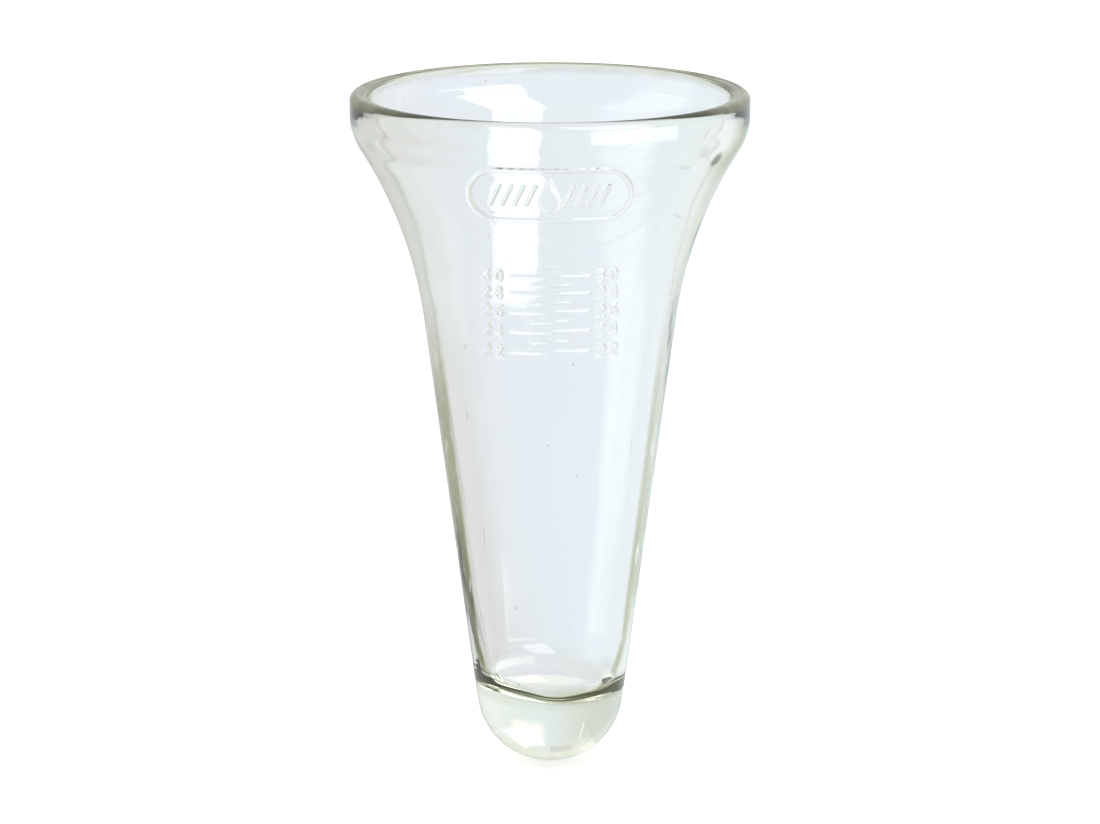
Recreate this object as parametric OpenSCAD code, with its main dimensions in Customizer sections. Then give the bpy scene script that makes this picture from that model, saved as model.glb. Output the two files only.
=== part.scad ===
/* [Rim] */
// Outside diameter of the rim
rim_d = 90; // [86:1:100]
// Thickness of the glass at the rim
rim_wall = 4.6; // [4:0.1:6]
// Radius of the two rounded edges of the lip
lip_round = 1.8; // [0.5:0.1:1.9]
// Height of the upright band under the lip, lip included
band_h = 5; // [4:0.5:8]

/* [Flare] */
// Radius of the shoulder that turns inwards under the band
shoulder_r = 14; // [8:1:18]
// Steepest lean of the flare, in degrees from upright
flare_angle = 32; // [28:1:35]
// Radius of the long hollow curve from the flare down to the tube
flare_r = 99; // [80:1:110]

/* [Tube] */
// Height from the lip to the tip of the round base
total_h = 157; // [145:1:190]
// Thickness of the glass along the tube
tube_wall = 2.6; // [2:0.1:3.5]

/* [Base] */
// Radius of the round base
base_r = 17; // [15:0.5:18]
// Depth of solid glass between the floor of the tube and the tip
base_depth = 17; // [14:0.5:30]
// Radius of the corner where the floor of the tube meets its wall
floor_round = 5; // [1:0.5:8]

/* [Hanging] */
// Inside diameter of the ring that the gauge hangs in
ring_d = 70; // [50:1:80]

/* [Raised marks] */
// How far the raised marks stand out from the glass
mark_proud = 0.4; // [0.2:0.1:0.8]
// Width of the raised lines of the scale
line_w = 0.6; // [0.4:0.1:0.8]
// Height of the numbers
digit_h = 3; // [2.4:0.1:3.6]
// Width of each number
digit_w = 1.8; // [1.4:0.1:2]
// Space between the two figures of a number
digit_gap = 1; // [0.8:0.1:1.4]
// Length of the lines that carry a number
long_tick = 17; // [10:1:20]
// Length of the lines between the numbers
short_tick = 8; // [4:1:9]
// Space between a line and the numbers at its ends
tick_gap = 1.8; // [1:0.1:3]
// Lowest numbered line, in millimetres of rain
first_mark = 22; // [12:2:22]
// Highest numbered line, in millimetres of rain
last_mark = 30; // [26:2:32]

/* [Badge] */
// Width of the badge
badge_w = 36; // [28:1:40]
// Height of the badge
badge_h = 13; // [10:0.5:14]
// Width of the raised frame round the badge
frame_w = 0.9; // [0.5:0.1:1.5]
// Distance from the end of the rim band down to the middle of the badge
badge_drop = 11.5; // [10:0.5:15]
// Radius of the round part of the raindrop
drop_r = 2.3; // [1.5:0.1:2.5]
// Height from the middle of the round part to the point of the raindrop
drop_tip = 5.6; // [4:0.1:6]
// Space from one rain stroke to the next
stroke_pitch = 2.6; // [2:0.1:3]
// Length of each rain stroke
stroke_len = 5; // [3:0.5:7]
// Lean of the rain strokes, in degrees from upright
stroke_lean = 24; // [0:1:35]

/* [Hidden] */

$fn = 48;

// Largest distance between a rounded outline and its chords
arc_error = 0.02;
// How deep the raised marks are rooted in the glass
mark_root = 0.5;

rim_r = rim_d / 2;
mouth_r = rim_r - rim_wall;
lip_r = min(lip_round, rim_wall / 2 - 0.1);
tip_z = -total_h;
floor_z = tip_z + base_depth;

// An outline node is [radius, height, lean]: its outward direction is [cos(lean), -sin(lean)].
// Heights count from the lip, downwards as minus.
function lean_out(a) = [cos(a), -sin(a)];
function arc_steps(r, sweep) = ceil(abs(sweep) / (2 * acos(1 - arc_error / abs(r))));
function arc(centre, r, from, to) = [
    let (steps = arc_steps(r, to - from))
    for (i = [0:steps])
        let (a = from + (to - from) * i / steps, p = centre + r * lean_out(a))
        [p[0], p[1], a]
];
function moved(n, by) = [n[0], n[1]] + by * lean_out(n[2]);
function flat(n) = [n[0], n[1]];

// The shoulder turns inwards, the flare turns back, and a straight taper touches both the flare
// and the round base. The taper's lean is that of the common tangent of the two circles.
shoulder_c = [rim_r - shoulder_r, -band_h];
flare_start = shoulder_c + shoulder_r * lean_out(flare_angle);
flare_c = flare_start + flare_r * lean_out(flare_angle);
base_c = [0, tip_z + base_r];
between = flare_c - base_c;
taper_angle = acos((flare_r + base_r) / norm(between)) - atan2(between[1], between[0]);

shoulder_nodes = arc(shoulder_c, shoulder_r, 0, flare_angle);
flare_nodes = arc(flare_c, -flare_r, flare_angle, taper_angle);
bell_nodes = concat(shoulder_nodes, [for (i = [1:len(flare_nodes) - 1]) flare_nodes[i]]);
base_nodes = arc(base_c, base_r, taper_angle, 90);
flare_end_z = flare_nodes[len(flare_nodes) - 1][1];

// The wall thins smoothly from the rim to the end of the flare.
function wall_at(z) =
    let (t = min(1, max(0, (-band_h - z) / (-band_h - flare_end_z))))
    rim_wall + (tube_wall - rim_wall) * t * t * (3 - 2 * t);

function outline(by) = concat(
    [[rim_r + by, 0]],
    [for (n = bell_nodes) moved(n, by)],
    [for (n = base_nodes) moved(n, by)]
);

lip_line = concat(
    [for (n = arc([mouth_r + lip_r, -lip_r], lip_r, -180, -90)) flat(n)],
    [for (n = arc([rim_r - lip_r, -lip_r], lip_r, -90, 0)) flat(n)]
);
outer_line = concat(
    [for (n = bell_nodes) flat(n)],
    [for (n = base_nodes) flat(n)]
);

// The tube's wall runs beside the taper, and its floor is joined by a rounded corner.
corner_z = floor_z + floor_round;
taper_reach = base_r - tube_wall - floor_round - base_c[1] * sin(taper_angle);
corner_c = [(taper_reach + corner_z * sin(taper_angle)) / cos(taper_angle), corner_z];
inner_line = concat(
    [for (n = bell_nodes) moved(n, -wall_at(n[1]))],
    [for (n = arc(corner_c, floor_round, taper_angle, 90)) flat(n)],
    [[0, floor_z]]
);
inner_last = len(inner_line) - 1;

// Height that a depth of rain reaches: the mouth's area times the depth, poured into the tube.
function slice(low, high) =
    PI * (high[1] - low[1]) * (low[0] * low[0] + low[0] * high[0] + high[0] * high[0]) / 3;
function rise(low, high, volume) =
    let (slope = (high[0] - low[0]) / (high[1] - low[1]))
    abs(slope) < 0.0001
        ? volume / (PI * low[0] * low[0])
        : (pow(pow(low[0], 3) + 3 * slope * volume / PI, 1 / 3) - low[0]) / slope;
function level(volume, i = inner_last - 1) =
    let (low = inner_line[i], high = inner_line[i - 1], held = slice(low, high))
    held >= volume || i == 1
        ? low[1] + rise(low, high, volume)
        : level(volume - held, i - 1);
function rain_z(depth) = level(PI * mouth_r * mouth_r * depth);

// The ring touches the outside where it is as wide as the ring.
function height_at(r, i = 0) =
    let (high = outer_line[i], low = outer_line[i + 1])
    low[0] <= r
        ? low[1] + (high[1] - low[1]) * (r - low[0]) / (high[0] - low[0])
        : height_at(r, i + 1);
seat_z = height_at(ring_d / 2);

// Strokes of the figures 0 to 9, on a grid 2 wide and 4 high.
FIGURES = [
    [[0, 1], [0, 3], [0.6, 4], [1.4, 4], [2, 3], [2, 1], [1.4, 0], [0.6, 0], [0, 1]],
    [[0.3, 3.2], [1.2, 4], [1.2, 0]],
    [[0, 3.2], [0.6, 4], [1.5, 4], [2, 3.2], [2, 2.6], [0, 0], [2, 0]],
    [[0, 4], [2, 4], [0.9, 2.4], [1.6, 2.2], [2, 1.4], [1.8, 0.5], [1, 0], [0, 0.4]],
    [[1.5, 0], [1.5, 4], [0, 1.2], [2, 1.2]],
    [[2, 4], [0.2, 4], [0, 2.1], [1.2, 2.5], [2, 1.8], [2, 0.8], [1.3, 0], [0, 0.3]],
    [[1.8, 4], [0.7, 3.4], [0, 2], [0, 0.8], [0.6, 0], [1.4, 0], [2, 0.8], [2, 1.6], [1.4, 2.3], [0, 1.8]],
    [[0, 4], [2, 4], [0.8, 0]],
    [
        [1, 2.1], [0.2, 2.9], [0.5, 3.9], [1.5, 3.9], [1.8, 2.9],
        [1, 2.1], [0, 1.2], [0.4, 0], [1.6, 0], [2, 1.2], [1, 2.1]
    ],
    [[2, 2.2], [0.6, 1.7], [0, 2.4], [0, 3.2], [0.6, 4], [1.4, 4], [2, 3.2], [2, 2], [1.3, 0.6], [0.2, 0]]
];

module bar(from, to, width) {
    run = to - from;
    translate(from)
        rotate(atan2(run[1], run[0]))
            translate([0, -width / 2])
                square([norm(run), width]);
    translate(from)
        circle(d = width);
    translate(to)
        circle(d = width);
}

module figure(value) {
    strokes = FIGURES[value];
    inset = line_w / 2;
    scale_x = (digit_w - line_w) / 2;
    scale_y = (digit_h - line_w) / 4;
    points = [for (p = strokes) [inset + p[0] * scale_x, inset + p[1] * scale_y]];
    for (i = [0:len(points) - 2])
        bar(points[i], points[i + 1], line_w);
}

// A two-figure number, its middle at the origin
module number(value) {
    pitch = digit_w + digit_gap;
    translate([-(pitch + digit_w) / 2, -digit_h / 2]) {
        figure(floor(value / 10));
        translate([pitch, 0])
            figure(value % 10);
    }
}

module tick(length) {
    bar([-length / 2, 0], [length / 2, 0], line_w);
}

module scale_marks() {
    number_x = long_tick / 2 + tick_gap + digit_w + digit_gap / 2;
    for (depth = [first_mark:last_mark])
        translate([0, rain_z(depth)])
            if (depth % 2 == 0) {
                tick(long_tick);
                for (side = [-1, 1])
                    translate([side * number_x, 0])
                        number(depth);
            } else {
                tick(short_tick);
            }
}

module stadium(w, h) {
    for (side = [-1, 1])
        translate([side * (w - h) / 2, 0])
            circle(d = h);
    square([w - h, h], center = true);
}

module drop(r, tip) {
    touch = acos(r / tip);
    circle(r = r);
    polygon([[0, tip], r * [sin(touch), cos(touch)], r * [-sin(touch), cos(touch)]]);
}

module badge() {
    middle = (drop_tip - drop_r) / 2;
    first_x = drop_r + 0.7 * stroke_pitch;
    last_x = badge_w / 2 - frame_w - stroke_pitch;
    half = stroke_len / 2 * [sin(stroke_lean), cos(stroke_lean)];
    difference() {
        stadium(badge_w, badge_h);
        stadium(badge_w - 2 * frame_w, badge_h - 2 * frame_w);
    }
    translate([0, -middle])
        drop(drop_r, drop_tip);
    for (side = [-1, 1], x = [first_x:stroke_pitch:last_x])
        translate([side * x, 0])
            bar(-half, half, line_w);
}

// A thin coat on the outside of the glass: the marks are cut from it.
module coat() {
    outside = outline(mark_proud);
    inside = outline(-mark_root);
    last = len(inside) - 1;
    rotate_extrude()
        polygon(concat(outside, [for (i = [0:last]) inside[last - i]]));
}

module marks() {
    intersection() {
        coat();
        rotate([90, 0, 0])
            linear_extrude(height = rim_d) {
                translate([0, -band_h - badge_drop])
                    badge();
                scale_marks();
            }
    }
}

module vessel() {
    rotate_extrude()
        polygon(concat(lip_line, outer_line, [for (i = [0:inner_last]) inner_line[inner_last - i]]));
}

module gauge_glass() {
    color([0.84, 0.89, 0.85, 0.5])
        translate([0, 0, -seat_z]) {
            vessel();
            marks();
        }
}

gauge_glass();
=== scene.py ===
"""Looks of a hanging rain gauge of clear pressed glass, with its studio and its camera.

Lengths are in millimetres and heights count down from the lip, as in the part's source,
until a mesh is made: meshes, materials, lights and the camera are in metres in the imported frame.
"""

import logging
import math
from dataclasses import dataclass
from enum import Enum

import bpy
import numpy as np
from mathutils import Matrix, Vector


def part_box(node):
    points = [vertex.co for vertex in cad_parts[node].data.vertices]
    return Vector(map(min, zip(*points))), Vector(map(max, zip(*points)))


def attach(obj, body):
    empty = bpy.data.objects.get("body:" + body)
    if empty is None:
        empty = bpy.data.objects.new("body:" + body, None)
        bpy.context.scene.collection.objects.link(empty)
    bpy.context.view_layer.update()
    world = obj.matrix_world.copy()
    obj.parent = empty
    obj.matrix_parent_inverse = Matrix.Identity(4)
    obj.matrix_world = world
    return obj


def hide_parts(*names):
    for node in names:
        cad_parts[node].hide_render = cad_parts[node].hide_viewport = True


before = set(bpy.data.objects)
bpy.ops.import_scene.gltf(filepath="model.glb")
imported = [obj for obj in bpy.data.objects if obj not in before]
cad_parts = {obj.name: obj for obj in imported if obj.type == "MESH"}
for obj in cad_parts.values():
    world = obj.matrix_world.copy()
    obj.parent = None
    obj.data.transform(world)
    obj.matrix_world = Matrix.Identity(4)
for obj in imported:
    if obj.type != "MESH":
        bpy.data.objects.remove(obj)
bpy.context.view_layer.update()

LOG = logging.getLogger("rain_gauge")
MM = 0.001
TINY = 1e-6
INSIDE = "inside"

Colour = tuple[float, float, float]
Span = tuple[float, float]
Point = tuple[float, float]
Socket = bpy.types.NodeSocket

WHITE: Colour = (1.0, 1.0, 1.0)


class Grain(Enum):
    """How finely a ring of the glass is divided round its front: every how many columns."""

    FINE = 1
    MIDDLE = 4
    COARSE = 8


@dataclass(frozen=True)
class GaugeSizes:
    """Sizes of the gauge, the same as in the part's source."""

    rim_r: float = 45.0
    rim_wall: float = 4.6
    lip_round: float = 1.8
    band_h: float = 5.0
    shoulder_r: float = 14.0
    flare_angle: float = 32.0
    flare_r: float = 99.0
    total_h: float = 157.0
    tube_wall: float = 2.6
    base_r: float = 17.0
    base_depth: float = 17.0
    floor_round: float = 5.0

    @property
    def mouth_r(self) -> float:
        """Radius of the mouth."""
        return self.rim_r - self.rim_wall


@dataclass(frozen=True)
class MarkSizes:
    """Sizes of the raised badge and rain scale, the same as in the part's source."""

    proud: float = 0.4
    edge: float = 0.38
    line_w: float = 0.6
    digit_h: float = 3.0
    digit_w: float = 1.8
    digit_gap: float = 1.0
    long_tick: float = 17.0
    short_tick: float = 8.0
    tick_gap: float = 1.8
    first_mark: int = 22
    last_mark: int = 30
    numbered_every: int = 2
    badge_w: float = 36.0
    badge_h: float = 13.0
    frame_w: float = 0.9
    badge_z: float = -16.5
    drop_r: float = 2.3
    drop_tip: float = 5.6
    drop_foot: float = 0.45
    stroke_start: float = 0.7
    stroke_pitch: float = 2.6
    stroke_len: float = 5.0
    stroke_lean: float = 24.0


# The figures 0 to 9, each a line through points of a grid.
FIGURE_GRID: Point = (2.0, 4.0)
FIGURES: list[list[Point]] = [
    [(0, 1), (0, 3), (0.6, 4), (1.4, 4), (2, 3), (2, 1), (1.4, 0), (0.6, 0), (0, 1)],
    [(0.3, 3.2), (1.2, 4), (1.2, 0)],
    [(0, 3.2), (0.6, 4), (1.5, 4), (2, 3.2), (2, 2.6), (0, 0), (2, 0)],
    [(0, 4), (2, 4), (0.9, 2.4), (1.6, 2.2), (2, 1.4), (1.8, 0.5), (1, 0), (0, 0.4)],
    [(1.5, 0), (1.5, 4), (0, 1.2), (2, 1.2)],
    [(2, 4), (0.2, 4), (0, 2.1), (1.2, 2.5), (2, 1.8), (2, 0.8), (1.3, 0), (0, 0.3)],
    [(1.8, 4), (0.7, 3.4), (0, 2), (0, 0.8), (0.6, 0), (1.4, 0), (2, 0.8), (2, 1.6), (1.4, 2.3), (0, 1.8)],
    [(0, 4), (2, 4), (0.8, 0)],
    [(1, 2.1), (0.2, 2.9), (0.5, 3.9), (1.5, 3.9), (1.8, 2.9), (1, 2.1), (0, 1.2), (0.4, 0), (1.6, 0),
     (2, 1.2), (1, 2.1)],
    [(2, 2.2), (0.6, 1.7), (0, 2.4), (0, 3.2), (0.6, 4), (1.4, 4), (2, 3.2), (2, 2), (1.3, 0.6), (0.2, 0)],
]


def smooth(value: np.ndarray, low: float, high: float) -> np.ndarray:
    """Rises smoothly from 0 at low to 1 at high.

    Args:
        value: The numbers to look up.
        low: Where the rise starts.
        high: Where it ends. It may be less than low.

    Returns:
        One number between 0 and 1 for each value.
    """
    t = np.clip((value - low) / (high - low), 0.0, 1.0)
    return t * t * (3.0 - 2.0 * t)


def lean_out(lean: float | np.ndarray) -> np.ndarray:
    """Outward direction in the (radius, height) plane for a lean in degrees from upright."""
    return np.array([np.cos(np.radians(lean)), -np.sin(np.radians(lean))]).T


def bearing(turn: float, reach: float, height: float) -> Vector:
    """The place at a turn in degrees from the front, a reach from the axis and a height."""
    return Vector((reach * math.sin(math.radians(turn)), -reach * math.cos(math.radians(turn)), height))


def place_in_scene(made: bpy.types.Object, in_glass: bool = True) -> bpy.types.Object:
    """Puts an object in the scene.

    Args:
        made: The object.
        in_glass: Whether the glass mirrors and shows it.

    Returns:
        The same object.
    """
    made.visible_glossy = in_glass
    made.visible_transmission = in_glass
    bpy.context.scene.collection.objects.link(made)
    return made


class Outline:
    """The section of the glass: one line from the tip, up the outside, over the lip and down inside."""

    STEP = 0.05

    def __init__(self, sizes: GaugeSizes) -> None:
        """Works out the arcs of the section.

        Args:
            sizes: The gauge's sizes.
        """
        self.sizes = sizes
        self.shoulder_c = np.array([sizes.rim_r - sizes.shoulder_r, -sizes.band_h])
        flare_start = self.shoulder_c + sizes.shoulder_r * lean_out(sizes.flare_angle)
        self.flare_c = flare_start + sizes.flare_r * lean_out(sizes.flare_angle)
        self.base_c = np.array([0.0, sizes.base_r - sizes.total_h])
        across = self.flare_c - self.base_c
        reach = (sizes.flare_r + sizes.base_r) / float(np.hypot(*across))
        self.taper = math.degrees(math.acos(reach) - math.atan2(across[1], across[0]))
        self.flare_end = self.flare_c - sizes.flare_r * lean_out(self.taper)
        self.floor_z = sizes.base_depth - sizes.total_h
        self.outer = self._outer()
        self.inner, self.corner_mid = self._inner()
        line = np.vstack([self.outer, self._lip(), self.inner])
        steps = np.hypot(*np.diff(line, axis=0).T)
        apart = steps > TINY
        self.line = line[np.concatenate([[True], apart])]
        self.along = np.concatenate([[0.0], np.cumsum(steps[apart])])
        self.lip_at = float(self.along[int(np.argmax(self.line[:, 1]))])

    def _arc(self, centre: np.ndarray, r: float, start: float, end: float) -> np.ndarray:
        """Points of an arc between two leans.

        Args:
            centre: The arc's centre.
            r: Its radius, minus for a hollow arc.
            start: The lean at its start in degrees.
            end: The lean at its end.

        Returns:
            The points, one row each.
        """
        count = max(3, int(abs(math.radians(end - start) * r) / self.STEP))
        return centre + r * lean_out(np.linspace(start, end, count + 1))

    def _bell(self) -> tuple[np.ndarray, np.ndarray]:
        """The flare and the shoulder from the taper up to the band.

        Returns:
            The points and their leans.
        """
        s = self.sizes
        flare = self._arc(self.flare_c, -s.flare_r, self.taper, s.flare_angle)
        shoulder = self._arc(self.shoulder_c, s.shoulder_r, s.flare_angle, 0.0)
        leans = np.concatenate([
            np.linspace(self.taper, s.flare_angle, len(flare)),
            np.linspace(s.flare_angle, 0.0, len(shoulder)),
        ])
        return np.vstack([flare, shoulder]), leans

    def _straight(self, start: np.ndarray, end: np.ndarray) -> np.ndarray:
        """Points of a straight stretch."""
        count = max(2, int(np.hypot(*(end - start)) / self.STEP))
        return start + (end - start) * np.linspace(0.0, 1.0, count + 1)[:, None]

    def _outer(self) -> np.ndarray:
        """The outside from the tip up to the start of the lip's rounding.

        Returns:
            The points, one row each.
        """
        s = self.sizes
        base = self._arc(self.base_c, s.base_r, 90.0, self.taper)
        bell, _ = self._bell()
        band = self._straight(np.array([s.rim_r, -s.band_h]), np.array([s.rim_r, -s.lip_round]))
        return np.vstack([base, self._straight(base[-1], self.flare_end), bell, band])

    def _lip(self) -> np.ndarray:
        """The two rounded edges of the lip and the flat between them.

        Returns:
            The points, one row each.
        """
        s = self.sizes
        outer_c = np.array([s.rim_r - s.lip_round, -s.lip_round])
        inner_c = np.array([s.mouth_r + s.lip_round, -s.lip_round])
        over = self._arc(outer_c, s.lip_round, 0.0, -90.0)
        down = self._arc(inner_c, s.lip_round, -90.0, -180.0)
        return np.vstack([over, self._straight(over[-1], down[0]), down])

    def _inner(self) -> tuple[np.ndarray, np.ndarray]:
        """The inside from the lip down to the middle of the floor.

        Returns:
            The points, one row each, and the middle of the rounding round the floor.
        """
        s = self.sizes
        bell, leans = self._bell()
        t = smooth(bell[:, 1], -s.band_h, float(self.flare_end[1]))
        wall = s.rim_wall + (s.tube_wall - s.rim_wall) * t
        inside = (bell - wall[:, None] * lean_out(leans))[::-1]
        band = self._straight(np.array([s.mouth_r, -s.lip_round]), np.array([s.mouth_r, -s.band_h]))
        lean = math.radians(self.taper)
        corner_z = self.floor_z + s.floor_round
        reach = s.base_r - s.tube_wall - s.floor_round - self.base_c[1] * math.sin(lean)
        corner_c = np.array([(reach + corner_z * math.sin(lean)) / math.cos(lean), corner_z])
        corner = self._arc(corner_c, s.floor_round, self.taper, 90.0)
        wall_line = self._straight(inside[-1], corner[0])
        floor = self._straight(corner[-1], np.array([0.0, self.floor_z]))
        return np.vstack([band, inside, wall_line, corner, floor]), corner[len(corner) // 2]

    def rain_heights(self, depths: list[int]) -> np.ndarray:
        """Heights that depths of rain reach in the gauge.

        Args:
            depths: Rain in millimetres over the mouth's own area.

        Returns:
            The heights of the water, one for each depth.
        """
        rising = self.inner[::-1]
        low, high = rising[:-1], rising[1:]
        slices = math.pi * (high[:, 1] - low[:, 1]) / 3.0 * (
            low[:, 0] ** 2 + low[:, 0] * high[:, 0] + high[:, 0] ** 2)
        held = np.concatenate([[0.0], np.cumsum(slices)])
        wanted = math.pi * self.sizes.mouth_r ** 2 * np.array(depths, float)
        return np.interp(wanted, held, rising[:, 1])

    def outside_at(self, height: float) -> float:
        """Distance along the section at which the outside passes a height."""
        return float(np.interp(height, self.outer[:, 1], self.along[:len(self.outer)]))

    def _points(self, along: np.ndarray) -> np.ndarray:
        """Points of the section at distances from the tip, one row each."""
        return np.stack([np.interp(along, self.along, self.line[:, i]) for i in (0, 1)], axis=-1)

    def at(self, along: np.ndarray) -> tuple[np.ndarray, np.ndarray]:
        """Points of the section and its outward directions.

        Args:
            along: Distances from the tip.

        Returns:
            The points and the unit directions that leave the glass, one row each.
        """
        reach = 2.0 * self.STEP
        run = self._points(along + reach) - self._points(along - reach)
        run /= np.hypot(run[:, 0], run[:, 1])[:, None]
        return self._points(along), np.stack([run[:, 1], -run[:, 0]], axis=-1)


@dataclass(frozen=True)
class Stroke:
    """A raised line with round ends, on the flat picture of the front."""

    start: Point
    end: Point
    width: float

    def depth(self, x: np.ndarray, z: np.ndarray) -> np.ndarray:
        """How deep each point lies inside the stroke.

        Args:
            x: Distances across the front.
            z: Heights.

        Returns:
            The depth at each point, minus outside the edge.
        """
        sx, sz = self.start
        dx, dz = self.end[0] - sx, self.end[1] - sz
        span = dx * dx + dz * dz
        t = np.clip(((x - sx) * dx + (z - sz) * dz) / span, 0.0, 1.0)
        return self.width / 2.0 - np.hypot(x - sx - t * dx, z - sz - t * dz)


class RaisedMarks:
    """The badge and the rain scale that stand out from the front of the glass."""

    def __init__(self, sizes: MarkSizes, rain_z: dict[int, float]) -> None:
        """Lays out the strokes.

        Args:
            sizes: The marks' sizes.
            rain_z: The height of each depth of rain.
        """
        self.sizes = sizes
        self.strokes = self._rain_strokes()
        for depth, z in rain_z.items():
            self.strokes += self._line(depth, z)

    def _number(self, value: int, x: float, z: float) -> list[Stroke]:
        """Strokes of a number of two figures.

        Args:
            value: The number.
            x: Its middle across the front.
            z: Its middle height.

        Returns:
            The strokes of both figures.
        """
        s = self.sizes
        pitch = s.digit_w + s.digit_gap
        left = x - (pitch + s.digit_w) / 2.0 + s.line_w / 2.0
        bottom = z - (s.digit_h - s.line_w) / 2.0
        across, up = (s.digit_w - s.line_w) / FIGURE_GRID[0], (s.digit_h - s.line_w) / FIGURE_GRID[1]
        strokes = []
        for place, figure in enumerate(divmod(value, 10)):
            points = [(left + place * pitch + px * across, bottom + pz * up) for px, pz in FIGURES[figure]]
            strokes += [Stroke(a, b, s.line_w) for a, b in zip(points, points[1:])]
        return strokes

    def _line(self, depth: int, z: float) -> list[Stroke]:
        """Strokes of one line of the scale, with its numbers where it has them.

        Args:
            depth: The depth of rain that it stands for.
            z: Its height.

        Returns:
            The strokes.
        """
        s = self.sizes
        numbered = depth % s.numbered_every == 0
        half = (s.long_tick if numbered else s.short_tick) / 2.0
        strokes = [Stroke((-half, z), (half, z), s.line_w)]
        if numbered:
            x = s.long_tick / 2.0 + s.tick_gap + s.digit_w + s.digit_gap / 2.0
            strokes += self._number(depth, -x, z) + self._number(depth, x, z)
        return strokes

    def _rain_strokes(self) -> list[Stroke]:
        """The leaning strokes on both sides of the badge's drop.

        Returns:
            The strokes.
        """
        s = self.sizes
        first = s.drop_r + s.stroke_start * s.stroke_pitch
        last = s.badge_w / 2.0 - s.frame_w - s.stroke_pitch
        lean = math.radians(s.stroke_lean)
        dx, dz = s.stroke_len / 2.0 * math.sin(lean), s.stroke_len / 2.0 * math.cos(lean)
        low, high = s.badge_z - dz, s.badge_z + dz
        places = np.arange(first, last + TINY, s.stroke_pitch).tolist()
        middles = [side * x for side in (-1.0, 1.0) for x in places]
        return [Stroke((middle - dx, low), (middle + dx, high), s.line_w) for middle in middles]

    def _frame_depth(self, x: np.ndarray, z: np.ndarray) -> np.ndarray:
        """How deep each point lies inside the badge's frame.

        Args:
            x: Distances across the front.
            z: Heights.

        Returns:
            The depth at each point, minus outside the edge.
        """
        s = self.sizes
        half = (s.badge_w - s.badge_h) / 2.0
        line_r = (s.badge_h - s.frame_w) / 2.0
        ring = np.hypot(x - np.clip(x, -half, half), z - s.badge_z)
        return s.frame_w / 2.0 - np.abs(ring - line_r)

    def _drop_depth(self, x: np.ndarray, z: np.ndarray) -> np.ndarray:
        """How deep each point lies inside the badge's drop.

        Args:
            x: Distances across the front.
            z: Heights.

        Returns:
            The depth at each point, minus outside the edge.
        """
        s = self.sizes
        rise = z - s.badge_z + (s.drop_tip - s.drop_r) / 2.0
        slope = s.drop_r / s.drop_tip
        flank = math.sqrt(1.0 - slope * slope)
        beside = np.abs(x)
        return np.where(
            beside * -slope + rise * flank < 0.0,
            s.drop_r - np.hypot(x, rise),
            np.where(beside * flank + rise * slope > s.drop_tip, -np.hypot(x, rise - s.drop_tip),
                     s.drop_r - beside * flank - rise * slope))

    def height(self, x: np.ndarray, z: np.ndarray) -> np.ndarray:
        """How far the marks stand out at each point of the front.

        Args:
            x: Distances across the front.
            z: Heights.

        Returns:
            The marks' height above the glass.
        """
        deep = self._frame_depth(x, z)
        for stroke in self.strokes:
            low = min(stroke.start[1], stroke.end[1]) - stroke.width
            high = max(stroke.start[1], stroke.end[1]) + stroke.width
            left = min(stroke.start[0], stroke.end[0]) - stroke.width
            right = max(stroke.start[0], stroke.end[0]) + stroke.width
            near = (z > low) & (z < high) & (x > left) & (x < right)
            deep[near] = np.maximum(deep[near], stroke.depth(x[near], z[near]))
        s = self.sizes
        drop = self._drop_depth(x, z)
        dome = s.drop_foot * smooth(drop, -s.edge / 2.0, s.edge / 2.0)
        dome += (1.0 - s.drop_foot) * np.sqrt(np.clip(drop / s.drop_r, 0.0, 1.0))
        return s.proud * np.maximum(smooth(deep, -s.edge / 2.0, s.edge / 2.0), dome)


@dataclass(frozen=True)
class Unevenness:
    """Slow waves that pressing leaves in a face of the glass.

    An order is a number of waves round the axis. They swell, fade and wander round it as they go up.
    """

    amount: float
    orders: tuple[int, ...]
    lengths: Span
    seed: int
    swing: float = 0.4
    wander: float = 1.3
    wander_length: float = 2.2

    def __call__(self, angle: np.ndarray, height: np.ndarray) -> np.ndarray:
        """The waves' height.

        Args:
            angle: Angles round the axis in radians.
            height: Heights of the same points.

        Returns:
            Numbers about within plus and minus the amount.
        """
        draw = np.random.default_rng(self.seed)
        total = np.zeros(np.broadcast(angle, height).shape)
        for order in self.orders:
            length = draw.uniform(*self.lengths)
            phase, drift = draw.uniform(0.0, math.tau, 2)
            swell = 1.0 - self.swing + self.swing * np.cos(math.tau * height / length + drift)
            wander = self.wander * np.sin(math.tau * height / (self.wander_length * length))
            total = total + swell * np.cos(order * angle + phase + wander)
        return self.amount * total / math.sqrt(len(self.orders))


@dataclass(frozen=True)
class Swell:
    """A place where the bowl's corner is fuller than in the section, widest at its middle turn."""

    turn: float
    spread: float
    reach: float
    amount: float

    def __call__(self, turn: np.ndarray, away: np.ndarray) -> np.ndarray:
        """How much glass it adds.

        Args:
            turn: Angles round the axis in radians.
            away: Distances from the middle of the corner's rounding.

        Returns:
            The added thickness.
        """
        beside = (np.degrees(turn) - self.turn + 180.0) % 360.0 - 180.0
        return self.amount * smooth(np.abs(beside), self.spread, 0.0) * smooth(away, self.reach, 0.0)


@dataclass(frozen=True)
class ShadeSpot:
    """A spot or streak of painted shade on the outer skin of the glass, darkening its colour where the glass
    shows shade.

    It has a middle, half a width and half a length, a lean from upright and a darkness.
    """

    turn: float
    height: float
    half: tuple[float, float]
    lean: float
    strength: float


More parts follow.
